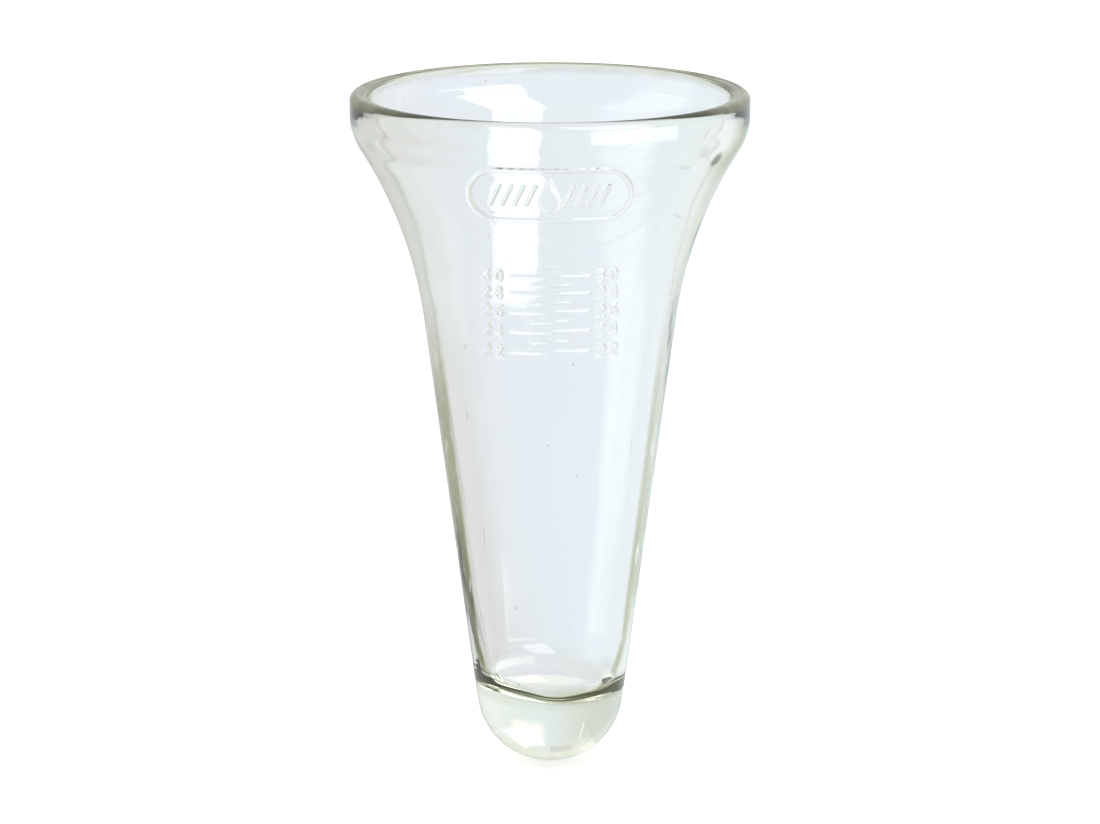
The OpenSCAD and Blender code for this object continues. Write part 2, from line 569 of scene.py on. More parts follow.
class Value:
    """A number that a shader works out: sums on it add Math nodes."""

    def __init__(self, graph: "Graph", socket: Socket) -> None:
        """Wraps a socket of a node tree."""
        self.graph = graph
        self.socket = socket

    def __add__(self, other: "Value | float") -> "Value":
        """Sum of the two."""
        return self.graph.math("ADD", self, other)

    def __radd__(self, other: float) -> "Value":
        """Sum of the two."""
        return self.graph.math("ADD", other, self)

    def __sub__(self, other: "Value | float") -> "Value":
        """What is left when the other is taken away."""
        return self.graph.math("SUBTRACT", self, other)

    def __rsub__(self, other: float) -> "Value":
        """The other less this one."""
        return self.graph.math("SUBTRACT", other, self)

    def __mul__(self, other: "Value | float") -> "Value":
        """Product of the two."""
        return self.graph.math("MULTIPLY", self, other)

    def __rmul__(self, other: float) -> "Value":
        """Product of the two."""
        return self.graph.math("MULTIPLY", other, self)

    def maximum(self, other: "Value | float") -> "Value":
        """The larger of the two."""
        return self.graph.math("MAXIMUM", self, other)

    def rise(self, low: float, high: float) -> "Value":
        """Rises smoothly from 0 to 1.

        Args:
            low: Where the rise starts.
            high: Where it ends. It may be less than low.

        Returns:
            The share between 0 and 1.
        """
        if high < low:
            return 1.0 - self.rise(high, low)
        return self.graph.value("Result", "ShaderNodeMapRange", {"interpolation_type": "SMOOTHSTEP"},
                                {"Value": self, "From Min": low, "From Max": high})

    def between(self, low: float, high: float, soft: float) -> "Value":
        """1 between low and high, falling to 0 within soft on both sides."""
        return self.rise(low - soft, low + soft) * self.rise(high + soft, high - soft)

    def stretch(self, start: float, end: float) -> "Value":
        """A share as a number that goes from start, where the share is 0, to end, where it is 1."""
        return start + (end - start) * self


class Graph:
    """Makes the nodes of one material or of the world."""

    MIX_INPUTS = (0, 6, 7)
    MIX_RESULT = 2

    def __init__(self, tree: bpy.types.NodeTree) -> None:
        """Starts from an empty tree."""
        self.tree = tree
        self.tree.nodes.clear()

    def node(self, kind: str, settings: dict | None = None, inputs: dict | None = None) -> bpy.types.Node:
        """Adds a node.

        Args:
            kind: The node's type.
            settings: Its settings, which are set first. "stops" are a ramp's places and colours.
            inputs: Values, colours or links of its sockets, by name or number. A node stands for
                its first output.

        Returns:
            The node.
        """
        made = self.tree.nodes.new(kind)
        for name, value in (settings or {}).items():
            if name == "stops":
                self._stops(made.color_ramp, value)
            else:
                setattr(made, name, value)
        for name, value in (inputs or {}).items():
            socket = made.inputs[name]
            source = value.outputs[0] if isinstance(value, bpy.types.Node) else value
            source = source.socket if isinstance(source, Value) else source
            if isinstance(source, Socket):
                self.tree.links.new(source, socket)
            else:
                socket.default_value = (*source, 1.0) if socket.type == "RGBA" else source
        return made

    @staticmethod
    def _stops(ramp: bpy.types.ColorRamp, stops: list[tuple[float, Colour]]) -> None:
        """Sets a ramp's stops.

        Args:
            ramp: The ramp.
            stops: Its places and their colours.
        """
        while len(ramp.elements) < len(stops):
            ramp.elements.new(0.5)
        for element, (place, colour) in zip(ramp.elements, stops):
            element.position = place
            element.color = (*colour, 1.0)

    def value(self, output: str, kind: str, settings: dict | None = None,
              inputs: dict | None = None) -> Value:
        """Adds a node and takes one of its outputs as a number."""
        return Value(self, self.node(kind, settings, inputs).outputs[output])

    def math(self, operation: str, *values: Value | float) -> Value:
        """Adds a Math node."""
        return self.value("Value", "ShaderNodeMath", {"operation": operation}, dict(enumerate(values)))

    def mix(self, factor: Value | float, low: Socket | Colour, high: Socket | Colour) -> Socket:
        """Mixes two colours: a factor of 0 gives the first and 1 the second."""
        inputs = dict(zip(self.MIX_INPUTS, (factor, low, high)))
        return self.node("ShaderNodeMix", {"data_type": "RGBA"}, inputs).outputs[self.MIX_RESULT]

    def mix_shader(self, factor: Value, low: bpy.types.Node, high: bpy.types.Node) -> bpy.types.Node:
        """Mixes two shaders: a factor of 0 gives the first and 1 the second."""
        return self.node("ShaderNodeMixShader", None, {0: factor, 1: low, 2: high})

    def noise(self, where: Socket, scale: float, detail: float = 2.0) -> Value:
        """Noise between 0 and 1 at a scale in repeats a metre."""
        inputs = {"Vector": where, "Scale": scale, "Detail": detail}
        return self.value("Fac", "ShaderNodeTexNoise", None, inputs)

    def drawn_out(self, where: Socket, share: float) -> Socket:
        """The point with only a share of its height, which draws a pattern out along the axis."""
        return self.node("ShaderNodeMapping", None, {"Vector": where, "Scale": (1.0, 1.0, share)}).outputs[0]

    def light_path(self, name: str) -> Value:
        """One of the Light Path node's flags."""
        return self.value(name, "ShaderNodeLightPath")


@dataclass(frozen=True)
class EdgePaintedShade:
    """Painted shade: how much the glass's colour is darkened where it is seen along its skin, standing in
    for the dark edges that refracted shade gives.

    A Span is where a share rises from 0 to 1: of facing, from 0, square on, to 1, along the skin,
    of the height from the lip or of the distance to the right of the axis, both in metres.
    """

    bell_foot: Span = (-0.078, -0.040)
    tube_foot: Span = (-0.1385, -0.1300)
    deep: Span = (-0.112, -0.125)
    # The painted shade is stronger on the left side and lower down the tube.
    left: Span = (0.006, -0.006)
    outer: Span = (0.53, 0.60)
    right_share: float = 0.60
    lower: Span = (-0.085, -0.108)
    upper_share: float = 0.76
    streak_scale: float = 420.0
    streak_drawn: float = 0.26
    streak_noise: Span = (0.33, 0.43)
    streak_least: float = 0.35
    bowl: Span = (-0.124, -0.138)
    bowl_gain: float = 0.17
    bowl_clear: Span = (0.64, 0.76)
    bowl_left: float = 0.15
    inner: Span = (0.78, 0.96)
    inner_shares: Span = (0.92, 0.42)
    rim: Span = (0.72, 0.96)
    rim_share: float = 0.55
    bell: Span = (0.56, 0.84)
    shoulder: Span = (-0.020, -0.013)
    bell_shares: Span = (0.44, 0.80)

    def weight(self, graph: Graph, place: Socket, x: Value, height: Value) -> Value:
        """How much painted shade darkens the glass's colour at each point.

        Args:
            graph: The material's nodes.
            place: The point on the glass.
            x: Its distance to the right of the axis.
            height: Its height from the lip.

        Returns:
            0 where the glass is seen square on, up to 1 at the tube's edges.
        """
        facing = graph.value("Facing", "ShaderNodeLayerWeight", None, {"Blend": 0.5})
        inside = graph.value("Fac", "ShaderNodeAttribute", {"attribute_name": INSIDE})
        on_bell = height.rise(*self.bell_foot)
        deep = height.rise(*self.deep)
        left = x.rise(*self.left)
        # Noise breaks the painted shade into patches, with lighter gaps along the tube's edges.
        streaks = graph.noise(graph.drawn_out(place, self.streak_drawn), self.streak_scale, detail=3.0)
        patchy = streaks.rise(*self.streak_noise).stretch(self.streak_least, 1.0)
        side = left.stretch(self.right_share, 1.0) * height.rise(*self.lower).stretch(self.upper_share, 1.0)
        skimmed = facing + self.bowl_gain * height.rise(*self.bowl)
        kept = (deep * skimmed.rise(*self.bowl_clear)).stretch(1.0, self.bowl_left)
        outer = skimmed.rise(*self.outer) * side * patchy * kept
        inner = facing.rise(*self.inner) * deep.stretch(*self.inner_shares)
        tube = (outer * (1.0 - inside) + inner * inside) * (1.0 - on_bell) * height.rise(*self.tube_foot)
        rim = self.rim_share * facing.rise(*self.rim)
        on_bell = on_bell * height.rise(*self.shoulder).stretch(*self.bell_shares)
        bell = facing.rise(*self.bell) * (1.0 - left) * (1.0 - inside) * on_bell
        return tube.maximum(rim).maximum(bell)


@dataclass(frozen=True)
class PaintedShadePlace:
    """A place given painted shade, a dark matt skin standing in for the shade where light is lost in the
    glass, by its height from the lip in metres.
    """

    colour: Colour
    amount: float
    heights: Span
    soft: float
    ahead: Span
    ahead_shares: Span

    def weight(self, shade_patches: Value, ahead: Value, height: Value) -> Value:
        """How strong the place's painted shade is.

        Args:
            shade_patches: How strong the patchy painted shade is at each point.
            ahead: The point's distance in front of the axis.
            height: Its height from the lip.

        Returns:
            The share, 0 on clear skin.
        """
        level = self.amount * height.between(*self.heights, self.soft) * shade_patches
        return level * ahead.rise(*self.ahead).stretch(*self.ahead_shares)


@dataclass(frozen=True)
class ClearGlass:
    """Clear pressed glass with a faint olive depth and a soft fire-polished skin, with painted shade at its
    edges, on its lip, round its bowl and in dark spots.
    """

    ior: float = 1.52
    depth_colour: Colour = (0.72, 0.81, 0.37)
    depth_density: float = 8.0
    clear: Colour = WHITE
    clouded: Colour = (0.985, 0.992, 0.985)
    shadow: Colour = (0.93, 0.95, 0.93)
    # Painted shade: olive, then near black, mixed into the colour where the glass is seen along its skin.
    olive: Colour = (0.70, 0.77, 0.20)
    edge: Colour = (0.066, 0.073, 0.018)
    edge_painted_shade: EdgePaintedShade = EdgePaintedShade()
    cloud_scale: float = 90.0
    cloud_drawn: float = 0.35
    grain_scale: float = 420.0
    grain_share: float = 0.12
    ripple: float = 0.05
    ripple_height: float = 0.0006
    haze_scale: float = 60.0
    haze: Span = (0.52, 0.78)
    roughness: Span = (0.004, 0.024)
    # Colour of the painted shade spots, and how deep and how soft-edged they are.
    shade_spot: Colour = (0.06, 0.066, 0.036)
    shade_spot_depth: float = 1.2
    shade_spot_rim: Span = (1.3, 0.5)
    seed_scale: float = 160.0
    seed_size: Span = (0.040, 0.022)
    seed_chosen: Span = (0.45, 0.50)
    seed_share: float = 0.8
    # The painted shade on the lip and round the bowl comes in patches of noise.
    shade_patch_scale: float = 140.0
    shade_patch_noise: Span = (0.35, 0.65)
    least_shade_patch: float = 0.65
    # Painted shade: a dark olive matt skin on the lip and round the bowl's floor, the bowl's strongest at
    # its front.
    lip_painted_shade: PaintedShadePlace = PaintedShadePlace(
        (0.58, 0.60, 0.42), 0.42, (-0.0019, 1.0), 0.0011, (0.018, 0.036), (1.0, 0.15))
    bowl_painted_shade: PaintedShadePlace = PaintedShadePlace(
        (0.40, 0.43, 0.20), 0.16, (-0.1396, -0.1352), 0.0010, (-0.006, 0.006), (0.25, 1.0))

    def _shade_spot_and_seed_weight(self, graph: Graph, place: Socket, shade_spots: list[tuple[ShadeSpot, Vector]]) -> Value:
        """How dark the painted shade spots and the seeds make each point.

        Args:
            graph: The material's nodes.
            place: The point on the glass.
            shade_spots: The painted shade spots, each with the middle of it on the glass.

        Returns:
            0 in clear glass and up to 1 in a seed or a strong painted shade spot.
        """
        cells = graph.node("ShaderNodeTexVoronoi", None, {"Vector": place, "Scale": self.seed_scale})
        chosen = graph.node("ShaderNodeSeparateColor", None, {"Color": cells.outputs["Color"]})
        seed = self.seed_share * Value(graph, cells.outputs["Distance"]).rise(*self.seed_size)
        dark = seed * Value(graph, chosen.outputs[0]).rise(*self.seed_chosen)
        # Painted shade: each spot darkens the colour in an oval on the skin.
        for shade_spot, centre in shade_spots:
            local = graph.node("ShaderNodeMapping", {"vector_type": "TEXTURE"}, {
                "Vector": place,
                "Location": centre,
                "Rotation": (0.0, math.radians(shade_spot.lean), math.radians(shade_spot.turn)),
                "Scale": (shade_spot.half[0] * MM, self.shade_spot_depth * MM, shade_spot.half[1] * MM),
            })
            reach = graph.value("Value", "ShaderNodeVectorMath", {"operation": "LENGTH"}, {0: local})
            dark = dark.maximum(shade_spot.strength * reach.rise(*self.shade_spot_rim))
        return dark

    def material(self, lip_z: float, shade_spots: list[tuple[ShadeSpot, Vector]]) -> bpy.types.Material:
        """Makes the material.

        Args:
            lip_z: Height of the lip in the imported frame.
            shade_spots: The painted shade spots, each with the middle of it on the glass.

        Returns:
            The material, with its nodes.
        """
        made = bpy.data.materials.new("clear_pressed_glass")
        made.use_nodes = True
        graph = Graph(made.node_tree)
        place = graph.node("ShaderNodeTexCoord").outputs["Object"]
        cloud = graph.noise(graph.drawn_out(place, self.cloud_drawn), self.cloud_scale)
        grain = graph.noise(place, self.grain_scale, detail=1.0)
        skin = graph.node("ShaderNodeBump", None, {
            "Height": cloud + self.grain_share * grain,
            "Strength": self.ripple,
            "Distance": self.ripple_height,
        })
        parts = graph.node("ShaderNodeSeparateXYZ", None, {"Vector": place})
        x, ahead = Value(graph, parts.outputs[0]), 0.0 - Value(graph, parts.outputs[1])
        height = Value(graph, parts.outputs[2]) - lip_z
        body = graph.mix(cloud, self.clouded, self.clear)
        # Painted shade: the colour darkens to olive and near black at the edges, lip and bowl.
        edge_shade_weight = self.edge_painted_shade.weight(graph, place, x, height)
        edged = graph.mix(edge_shade_weight, graph.mix(edge_shade_weight, body, self.olive), self.edge)
        haze = graph.noise(place, self.haze_scale, detail=3.0).rise(*self.haze)
        shader = graph.node("ShaderNodeBsdfPrincipled", None, {
            "Base Color": graph.mix(self._shade_spot_and_seed_weight(graph, place, shade_spots), edged, self.shade_spot),
            "Roughness": haze.stretch(*self.roughness),
            "IOR": self.ior,
            "Transmission Weight": 1.0,
            "Normal": skin,
        })
        # Painted shade: dark matt diffuse mixed over the lip and round the bowl's floor.
        shade_patches = graph.noise(place, self.shade_patch_scale).rise(*self.shade_patch_noise).stretch(self.least_shade_patch, 1.0)
        for spot in (self.lip_painted_shade, self.bowl_painted_shade):
            painted_shade = graph.node("ShaderNodeBsdfDiffuse", None, {"Color": spot.colour, "Normal": skin})
            shader = graph.mix_shader(spot.weight(shade_patches, ahead, height), shader, painted_shade)
        passed = graph.node("ShaderNodeBsdfTransparent", None, {"Color": self.shadow})
        shader = graph.mix_shader(graph.light_path("Is Shadow Ray"), shader, passed)
        depth = graph.node("ShaderNodeVolumeAbsorption", None,
                           {"Color": self.depth_colour, "Density": self.depth_density})
        graph.node("ShaderNodeOutputMaterial", None, {"Surface": shader, "Volume": depth})
        return made


@dataclass(frozen=True)
class PaleFloor:
    """The plain white table under the gauge."""

    colour: Colour = (0.82, 0.82, 0.82)
    glow: float = 0.42

    def material(self) -> bpy.types.Material:
        """Makes the material: white to the camera, with the shadow kept.

        Returns:
            The material, with its nodes.
        """
        made = bpy.data.materials.new("pale_floor")
        made.use_nodes = True
        graph = Graph(made.node_tree)
        matt = graph.node("ShaderNodeBsdfDiffuse", None, {"Color": self.colour})
        strength = self.glow * graph.light_path("Is Camera Ray")
        glow = graph.node("ShaderNodeEmission", None, {"Strength": strength})
        both = graph.node("ShaderNodeAddShader", None, {0: matt, 1: glow})
        graph.node("ShaderNodeOutputMaterial", None, {"Surface": both})
        return made


@dataclass(frozen=True)
class Window:
    """A patch of the room that the glass mirrors, by its bearing from the front and its lift, in degrees.

    Its sides lean by slant degrees of bearing for each degree of lift.
    """

    turn: Span
    lift: Span
    strength: float
    soft: float = 2.0
    slant: float = 0.0


@dataclass(frozen=True)
class StudioRoom:
    """The pale room that the glass shows and mirrors, and that lights the floor."""

    plain: Colour = (0.9, 0.9, 0.9)
    ceiling: Colour = (0.86, 0.88, 0.80)
    ceiling_lift: Span = (18.0, 45.0)
    table: Colour = (0.78, 0.78, 0.86)
    table_lift: Span = (-36.0, -54.0)
    walls: tuple[tuple[float, Colour], ...] = (
        (-180.0, (0.80, 0.84, 0.88)),
        (-90.0, (0.72, 0.76, 0.78)),
        (-42.0, (0.66, 0.69, 0.67)),
        (-25.0, (0.71, 0.73, 0.70)),
        (-12.0, (0.77, 0.81, 0.82)),
        (-3.0, (0.81, 0.86, 0.93)),
        (5.0, (0.83, 0.90, 0.97)),
        (18.0, (0.86, 0.92, 0.96)),
        (40.0, (0.92, 0.97, 1.0)),
        (90.0, (0.86, 0.90, 0.93)),
        (180.0, (0.80, 0.84, 0.88)),
    )
    windows: tuple[Window, ...] = (
        Window((21.5, 62.5), (5.3, 53.0), 5.0, 1.2, -0.36),
        Window((23.0, 77.0), (-11.0, -6.5), 4.0, 1.5),
        Window((-105.0, -64.0), (-22.0, 48.0), 1.9, 8.0, 0.6),
        Window((-172.0, -142.0), (-30.0, -14.0), 0.70, 5.0),
        Window((156.0, 176.0), (3.5, 24.0), 1.10, 3.0),
        Window((-159.6, -158.6), (5.0, 20.0), 1.05, 0.6),
        Window((-181.0, -162.0), (25.0, 34.0), 0.70, 3.0),
        Window((148.0, 190.0), (-74.0, -54.0), 0.97, 2.5),
        Window((-190.0, -150.0), (-74.0, -54.0), 0.97, 2.5),
        Window((-135.0, -42.0), (-45.0, -7.0), 0.78, 3.0),
    )

    def make(self) -> None:
        """Makes the world and gives it to the scene."""
        world = bpy.data.worlds.new("studio_room")
        world.use_nodes = True
        bpy.context.scene.world = world
        graph = Graph(world.node_tree)
        towards = graph.node("ShaderNodeTexCoord").outputs["Generated"]
        parts = graph.node("ShaderNodeSeparateXYZ", None, {"Vector": towards})
        x, y, z = (Value(graph, parts.outputs[i]) for i in range(3))
        degree = math.degrees(1.0)
        behind = graph.math("ARCTAN2", x, y) * degree
        front = graph.math("ARCTAN2", x, 0.0 - y) * degree
        lift = graph.math("ARCSINE", z) * degree
        stops = [((turn + 180.0) / 360.0, colour) for turn, colour in self.walls]
        ramp = graph.node("ShaderNodeValToRGB", {"stops": stops}, {"Fac": (behind + 180.0) * (1.0 / 360.0)})
        seen = graph.mix(lift.rise(*self.ceiling_lift), ramp.outputs[0], self.ceiling)
        seen = graph.mix(lift.rise(*self.table_lift), seen, self.table)
        for window in self.windows:
            turned = front - window.slant * lift
            inside = turned.between(*window.turn, window.soft) * lift.between(*window.lift, window.soft)
            seen = graph.mix(inside, seen, (window.strength,) * 3)
        through = graph.light_path("Is Glossy Ray").maximum(graph.light_path("Is Transmission Ray"))
        room = graph.mix(through, self.plain, seen)
        sky = graph.mix(graph.light_path("Is Camera Ray"), room, WHITE)
        shader = graph.node("ShaderNodeBackground", None, {"Color": sky})
        graph.node("ShaderNodeOutputWorld", None, {"Surface": shader})


@dataclass(frozen=True)
class Cavity:
    """How the cavity departs from the section: its waves, its shift, its tilt and its fuller corner.

    A Span of heights is where a share rises from 0 to 1.
    """

    shift: float = 0.5
    shift_heights: Span = (-12.0, -62.0)
    tilt: float = 0.06
    tilt_heights: Span = (-110.0, -134.0)
    thinner: float = 0.5
    thinner_top: Span = (-20.0, -60.0)
    thinner_foot: Span = (-134.0, -100.0)
    flare: float = 0.28
    flare_heights: tuple[float, float, float] = (-14.0, -7.0, -2.0)
    waves: Unevenness = Unevenness(0.10, (2, 3, 5, 7), (60.0, 130.0), 11)
    waves_top: Span = (-6.0, -30.0)
    streaks: Unevenness = Unevenness(0.03, (11, 17, 23), (14.0, 40.0), 23)
    streak_sides: Span = (0.55, 0.95)
    bell_waves: Unevenness = Unevenness(0.045, (6, 8, 11), (10.0, 24.0), 37)
    bell_top: Span = (-5.0, -12.0)
    bell_foot: Span = (-60.0, -40.0)
    swells: tuple[Swell, ...] = (
        Swell(185.0, 115.0, 5.2, 1.3),
        Swell(60.0, 75.0, 5.2, 1.0),
        Swell(300.0, 75.0, 5.2, 1.0),
    )

    def push(self, turn: np.ndarray, z: np.ndarray, away: np.ndarray) -> np.ndarray:
        """How much thicker the glass is than in the section.

        Args:
            turn: The columns' angles in radians.
            z: The rings' heights.
            away: The rings' distances from the middle of the corner's rounding.

        Returns:
            The added thickness, of rings by columns.
        """
        sides = smooth(np.abs(np.sin(turn)), *self.streak_sides)
        thin = self.thinner * smooth(z, *self.thinner_top) * smooth(z, *self.thinner_foot)
        bell = smooth(z, *self.bell_top) * smooth(z, *self.bell_foot)
        waves = self.waves(turn, z) + self.streaks(turn, z) * sides
        added = waves * smooth(z, *self.waves_top) - thin
        added = added + self.bell_waves(turn, z) * bell
        added = added + np.interp(z, self.flare_heights, (0.0, self.flare, -self.flare))
        for swell in self.swells:
            added = added + swell(turn, away)
        return added

    def move(self, points: np.ndarray, z: np.ndarray) -> np.ndarray:
        """Shifts the cavity to the right and tilts its floor.

        Args:
            points: The points, with x, y, z last.
            z: Their heights in the section.

        Returns:
            The moved points.
        """
        x = points[..., 0] + self.shift * smooth(z, *self.shift_heights)
        fall = self.tilt * smooth(z, *self.tilt_heights) * x
        return np.stack([x, points[..., 1], points[..., 2] - fall], axis=-1)


@dataclass(frozen=True)
class RingSteps:
    """Steps between the rings along the section, place by place, and how far each place reaches."""

    pole: float = 0.9
    tube: float = 1.3
    marks: float = 0.21
    waist: float = 0.9
    shoulder: float = 0.8
    lip: float = 0.3
    mouth: float = 0.7
    wall: float = 1.6
    bowl: float = 0.7
    past_badge: float = 1.0
    past_scale: float = 0.8
    below_lip: float = 0.4
    lip_reach: float = 3.6
    mouth_reach: float = 22.0
    bowl_reach: float = 24.0


@dataclass
class GlassVessel:
    """The whole gauge: one pressed piece of glass with its mouth, tube, round base and raised marks."""

    lip_z: float
    sizes: GaugeSizes = GaugeSizes()
    marks: MarkSizes = MarkSizes()
    cavity: Cavity = Cavity()
    steps: RingSteps = RingSteps()
    finish: ClearGlass = ClearGlass()
    column: float = 0.3125
    front_half: float = 32.5
    skin_depth: float = 0.04
    outer_waves: Unevenness = Unevenness(0.018, (2, 3, 5), (70.0, 120.0), 4)
    # Painted shade: dark spots and streaks laid into the glass's colour, most on the front of the bell and
    # the tube's left.
    shade_spots: tuple[ShadeSpot, ...] = (
        ShadeSpot(57.5, -11.9, (2.2, 2.7), 18.0, 1.0),
        ShadeSpot(42.8, -12.0, (2.4, 0.6), 10.0, 0.22),
        ShadeSpot(-53.0, -5.6, (0.28, 2.0), -38.0, 0.30),
        ShadeSpot(49.0, -5.2, (0.28, 1.9), 40.0, 0.30),
        ShadeSpot(-63.5, -9.6, (2.6, 1.2), 8.0, 0.22),
        ShadeSpot(-66.0, -17.5, (1.6, 6.0), -28.0, 0.13),
        ShadeSpot(-64.0, -27.0, (1.2, 6.0), -10.0, 0.10),
        ShadeSpot(49.8, -24.1, (2.6, 0.25), 20.0, 0.28),
        ShadeSpot(-45.0, -70.3, (0.16, 1.6), 4.0, 0.45),
        ShadeSpot(-41.5, -99.3, (0.16, 2.4), 3.0, 0.40),
        ShadeSpot(150.0, -14.0, (1.4, 1.0), 30.0, 0.5),
        ShadeSpot(205.0, -31.0, (0.25, 3.4), 12.0, 0.35),
        ShadeSpot(124.0, -86.0, (0.18, 2.6), 5.0, 0.4),
        ShadeSpot(236.0, -62.0, (0.7, 0.5), 0.0, 0.4),
    )

    def build(self) -> bpy.types.Object:
        """Makes the glass as one closed mesh.

        Returns:
            The new object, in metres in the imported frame.
        """
        outline = Outline(self.sizes)
        depths = list(range(self.marks.first_mark, self.marks.last_mark + 1))
        heights = outline.rain_heights(depths)
        relief = RaisedMarks(self.marks, dict(zip(depths, map(float, heights))))
        along, grains = self._stations(outline, float(heights[0]), float(heights[-1]))
        angles = self._angles()
        points = self._surface(outline, relief, along, angles)
        normals = self._normals(points, along, angles)
        inside = smooth(along, outline.lip_at, outline.lip_at + self.sizes.rim_wall)
        return self._mesh(outline, points, normals, inside, grains)

    def _stations(self, outline: Outline, low_mark: float,
                  high_mark: float) -> tuple[np.ndarray, list[Grain]]:
        """Places of the rings along the section, closer where the marks are.

        Args:
            outline: The section.
            low_mark: Height of the scale's lowest line.
            high_mark: Height of its highest line.

        Returns:
            The rings' distances along the section and how finely each is divided.
        """
        m, s = self.marks, self.steps
        end = float(outline.along[-1])
        reach = m.badge_h / 2.0 + s.past_badge
        beyond = m.digit_h / 2.0 + s.past_scale
        stops = [
            (s.pole, s.tube, Grain.COARSE),
            (outline.outside_at(low_mark - beyond), s.marks, Grain.FINE),
            (outline.outside_at(high_mark + beyond), s.waist, Grain.COARSE),
            (outline.outside_at(m.badge_z - reach), s.marks, Grain.FINE),
            (outline.outside_at(m.badge_z + reach), s.shoulder, Grain.COARSE),
            (outline.outside_at(-self.sizes.lip_round - s.below_lip), s.lip, Grain.COARSE),
            (outline.lip_at + s.lip_reach, s.mouth, Grain.COARSE),
            (outline.lip_at + s.mouth_reach, s.wall, Grain.COARSE),
            (end - s.bowl_reach, s.bowl, Grain.COARSE),
            (end - s.pole, s.bowl, Grain.COARSE),
        ]
        along: list[float] = []
        grains: list[Grain] = []
        for (start, step, grain), (stop, _, _) in zip(stops, stops[1:]):
            count = max(1, round((stop - start) / step))
            along += [start + (stop - start) * i / count for i in range(count)]
            grains += [grain] * count
        along.append(stops[-1][0])
        grains.append(Grain.COARSE)
        fine = [g is Grain.FINE for g in grains]
        for i in range(1, len(grains) - 1):
            if not fine[i] and (fine[i - 1] or fine[i + 1]):
                grains[i] = Grain.MIDDLE
        return np.array(along), grains

    def _angles(self) -> np.ndarray:
        """Angles of all columns, closer together at the front.

        Returns:
            The angles in degrees, 0 at the front.
        """
        step = self.column * Grain.COARSE.value
        front = np.arange(-self.front_half, self.front_half, self.column)
        rest = np.arange(self.front_half, 360.0 - self.front_half, step)
        return np.concatenate([front, rest])

    def _surface(self, outline: Outline, relief: RaisedMarks, along: np.ndarray,
                 angles: np.ndarray) -> np.ndarray:
        """Points of the glass at every ring and column.

        Args:
            outline: The section.
            relief: The raised marks.
            along: The rings' distances along the section.
            angles: The columns' angles in degrees.

        Returns:
            An array of rings by columns by x, y, z in millimetres, heights from the lip.
        """
        place, out = outline.at(along)
        turn = np.radians(angles)[None, :]
        r, z = place[:, :1], place[:, 1:]
        x = r * np.sin(turn)
        outside = (along < outline.lip_at)[:, None]
        front = outside & (np.cos(turn) > 0.0)
        z_all = np.broadcast_to(z, x.shape).copy()
        raised = np.zeros(x.shape)
        raised[front] = relief.height(x[front], z_all[front])
        outer = -self.skin_depth + self.outer_waves(turn, z) + raised
        away = np.hypot(*(place - outline.corner_mid).T)[:, None]
        push = np.where(outside, outer, self.cavity.push(turn, z, away))
        r_new = r + out[:, :1] * push
        points = np.stack([r_new * np.sin(turn), -r_new * np.cos(turn), z + out[:, 1:] * push], axis=-1)
        return np.where(outside[..., None], points, self.cavity.move(points, z))

    @staticmethod
    def _normals(points: np.ndarray, along: np.ndarray, angles: np.ndarray) -> np.ndarray:
        """Directions that leave the glass at every point, from the points beside it.

        Args:
            points: The surface's points.
            along: The rings' distances along the section.
            angles: The columns' angles in degrees.

        Returns:
            The unit directions, one for each point.
        """
        wrapped = np.concatenate([points[:, -1:], points, points[:, :1]], axis=1)
        turn = np.concatenate([[angles[-1] - 360.0], angles, [angles[0] + 360.0]])
        round_way = np.gradient(wrapped, turn, axis=1)[:, 1:-1]
        up_way = np.gradient(points, along, axis=0)
        out = np.cross(round_way, up_way)
        return out / np.linalg.norm(out, axis=-1, keepdims=True)

    def _mesh(self, outline: Outline, points: np.ndarray, normals: np.ndarray, inside: np.ndarray,
              grains: list[Grain]) -> bpy.types.Object:
        """Joins the rings into one closed mesh.

        Args:
            outline: The section, for its two ends on the axis.
            points: The surface's points.
            normals: Their outward directions.
            inside: 0 for a ring on the outside and 1 for one in the cavity.
            grains: How finely each ring is divided.

        Returns:
            The new object.
        """
        front = int(round(2.0 * self.front_half / self.column))
        kept = [[*range(0, front, grain.value), *range(front, points.shape[1])] for grain in grains]
        tip = np.array([[0.0, 0.0, self.skin_depth - self.sizes.total_h]])
        shift = self.cavity.shift
        floor = np.array([[shift, 0.0, outline.floor_z - self.cavity.tilt * shift]])
        rows = [points[i][columns] for i, columns in enumerate(kept)]
        sides = [normals[i][columns] for i, columns in enumerate(kept)]
        starts = np.concatenate([[0], np.cumsum([len(row) for row in rows])]).tolist()
        verts = np.vstack(rows + [tip, floor])
        outward = np.vstack(sides + [np.array([[0.0, 0.0, -1.0], [0.0, 0.0, 1.0]])])
        faces: list[tuple[int, ...]] = []
        for i in range(len(rows) - 1):
            faces += self._strip(kept[i], kept[i + 1], starts[i], starts[i + 1])
        tip_at, floor_at = len(verts) - 2, len(verts) - 1
        first, count = starts[0], len(kept[0])
        faces += [(tip_at, first + (j + 1) % count, first + j) for j in range(count)]
        last, count = starts[-2], len(kept[-1])
        faces += [(last + j, last + (j + 1) % count, floor_at) for j in range(count)]
        LOG.info("rings %d, columns %d to %d", len(rows), len(kept[0]), points.shape[1])
        placed = verts * MM + np.array([0.0, 0.0, self.lip_z])
        mesh = bpy.data.meshes.new("pressed_glass")
        mesh.from_pydata(placed.tolist(), [], faces)
        mesh.update()
        mesh.polygons.foreach_set("use_smooth", [True] * len(mesh.polygons))
        mesh.normals_split_custom_set_from_vertices(outward.tolist())
        sunk = np.concatenate([np.repeat(inside, [len(row) for row in rows]), [0.0, 1.0]])
        mesh.attributes.new(INSIDE, "FLOAT", "POINT").data.foreach_set("value", sunk)
